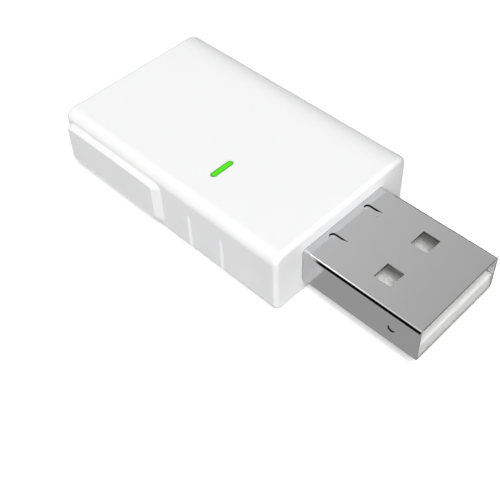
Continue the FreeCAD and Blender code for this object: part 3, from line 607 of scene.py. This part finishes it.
def add_floor():
    """Pale paper that is seen white, with the object's shadow on it."""
    mesh = bpy.data.meshes.new("floor")
    form = bmesh.new()
    bmesh.ops.create_grid(form, x_segments=1, y_segments=1, size=FLOOR_HALF)
    form.to_mesh(mesh)
    form.free()
    floor = bpy.data.objects.new("floor", mesh)
    bpy.context.scene.collection.objects.link(floor)
    material, shader = new_material("floor_paper", PAPER, 0.9)
    shader.inputs["Specular IOR Level"].default_value = 0.0
    seen = seen_directly(material)
    link(material, blend(material, PAPER, WHITE, seen), shader.inputs["Base Color"])
    shader.inputs["Emission Color"].default_value = WHITE
    link(material, product(material, seen, floor_lift(material)),
         shader.inputs["Emission Strength"])
    mesh.materials.append(material)


def floor_lift(material):
    """How far paper seen directly is lifted to white: more away from the object."""
    low, high = CAD_BOX
    place = object_place(material)
    past = []
    for axis, name in enumerate("XY"):
        middle, half = (low[axis] + high[axis]) / 2, (high[axis] - low[axis]) / 2
        off = maths(material, "ABSOLUTE", maths(material, "SUBTRACT", place[name], middle))
        past.append(maths(material, "SUBTRACT", off, half))
    return ramp(material, maths(material, "MAXIMUM", *past), LIFT_SPAN, FLOOR_LIFT,
                interpolation_type="SMOOTHSTEP")


def add_world(scene, look):
    """A soft dome of light that is white where it is seen directly."""
    world = bpy.data.worlds.new("studio_dome")
    world.use_nodes = True
    scene.world = world
    background = world.node_tree.nodes["Background"]
    background.inputs["Color"].default_value = WHITE
    strength = ramp(world, seen_directly(world), (0.0, 1.0), (look.dome, 1.0))
    link(world, strength, background.inputs["Strength"])


def toward(direction):
    """The unit vector to an azimuth and elevation in degrees."""
    azimuth, elevation = (math.radians(angle) for angle in direction)
    return Vector((math.cos(azimuth) * math.cos(elevation),
                   math.sin(azimuth) * math.cos(elevation), math.sin(elevation)))


def add_softbox(scene, name, direction, power):
    """A square lamp that faces the housing."""
    away = toward(direction)
    lamp = bpy.data.lights.new(name, "AREA")
    lamp.shape = "SQUARE"
    lamp.size = LAMP_SIZE
    lamp.energy = power
    box = bpy.data.objects.new(name, lamp)
    box.location = LAMP_AIM + away * LAMP_DISTANCE
    box.rotation_euler = away.to_track_quat("Z", "Y").to_euler()
    scene.collection.objects.link(box)


def add_sheet(name, aim, direction, distance, size):
    """A flat black sheet that faces a point and that no camera sees; in millimetres."""
    away = toward(direction)
    mesh = bpy.data.meshes.new(name)
    form = bmesh.new()
    bmesh.ops.create_grid(form, x_segments=1, y_segments=1, size=0.5)
    bmesh.ops.scale(form, vec=(size[0] * MM, size[1] * MM, 1), verts=form.verts)
    place = (Matrix.Translation((Vector(aim) + away * distance) * MM)
             @ away.to_track_quat("Z", "Y").to_matrix().to_4x4())
    bmesh.ops.transform(form, matrix=place, verts=form.verts)
    form.to_mesh(mesh)
    form.free()
    sheet = bpy.data.objects.new(name, mesh)
    bpy.context.scene.collection.objects.link(sheet)
    material, shader = new_material(name + "_paint", BLACK, 1.0)
    shader.inputs["Specular IOR Level"].default_value = 0.0
    mesh.materials.append(material)
    sheet.visible_camera = False
    sheet.visible_diffuse = False
    return sheet, material, shader


def grade_card(card, material, shader, tones):
    """Makes a sheet a card: it shines from one tone to another along X, in mirrors only."""
    ends = [vertex.co.x for vertex in card.data.vertices]
    glow = ramp(material, object_place(material)["X"], (min(ends), max(ends)), tones)
    shader.inputs["Emission Color"].default_value = WHITE
    link(material, glow, shader.inputs["Emission Strength"])
    card.visible_shadow = False


def add_flag(name, place, size):
    """A level black sheet, seen by nothing, that shades what lies under it from the lamps."""
    flag, _, _ = add_sheet(name, place, (0, 90), 0, size)
    flag.visible_glossy = False


def add_camera(scene, look):
    """The camera of the photograph."""
    data = bpy.data.cameras.new("camera")
    data.sensor_width = 36.0
    data.lens = look.lens
    data.shift_x, data.shift_y = CAMERA_SHIFT
    data.clip_start = 0.001
    data.clip_end = 10.0
    camera = bpy.data.objects.new("camera", data)
    turn = (Matrix.Rotation(look.azimuth, 4, "Z")
            @ Matrix.Rotation(math.pi / 2 - look.elevation, 4, "X")
            @ Matrix.Rotation(look.roll, 4, "Z"))
    camera.matrix_world = Matrix.Translation(CAMERA_PLACE) @ turn
    scene.collection.objects.link(camera)
    scene.camera = camera


class GATEWAY_PT_panel(bpy.types.Panel):
    """Lists the gateway's pieces and looks"""
    bl_idname = "GATEWAY_PT_panel"
    bl_label = "Gateway"
    bl_space_type = "VIEW_3D"
    bl_region_type = "UI"
    bl_category = "Gateway"

    def draw(self, context):
        column = self.layout.column()
        for operator in OPERATORS:
            column.operator(operator.bl_idname)
        for name in LOOKS:
            look = getattr(context.scene, name)
            for prop in look.bl_rna.properties:
                if prop.identifier not in {"rna_type", "name"}:
                    column.prop(look, prop.identifier)


OPERATORS = (
    GATEWAY_OT_covers, GATEWAY_OT_light_guide, GATEWAY_OT_plug_shell, GATEWAY_OT_plug_tongue,
    GATEWAY_OT_contacts, GATEWAY_OT_circuit_board, GATEWAY_OT_radio_shield, GATEWAY_OT_chips,
    GATEWAY_OT_small_parts, GATEWAY_OT_antennas, GATEWAY_OT_studio,
)
CLASSES = tuple(LOOKS.values()) + OPERATORS + (GATEWAY_PT_panel,)


def register():
    for made in CLASSES:
        bpy.utils.register_class(made)
    for name, group in LOOKS.items():
        setattr(bpy.types.Scene, name, PointerProperty(type=group))


def unregister():
    for name in LOOKS:
        delattr(bpy.types.Scene, name)
    for made in reversed(CLASSES):
        bpy.utils.unregister_class(made)


def main():
    register()
    bpy.ops.gateway.covers()
    bpy.ops.gateway.light_guide()
    bpy.ops.gateway.plug_shell()
    bpy.ops.gateway.plug_tongue()
    bpy.ops.gateway.contacts()
    bpy.ops.gateway.circuit_board()
    bpy.ops.gateway.radio_shield()
    bpy.ops.gateway.chips()
    bpy.ops.gateway.small_parts()
    bpy.ops.gateway.antennas()
    bpy.ops.gateway.studio()


if __name__ == "__main__":
    main()
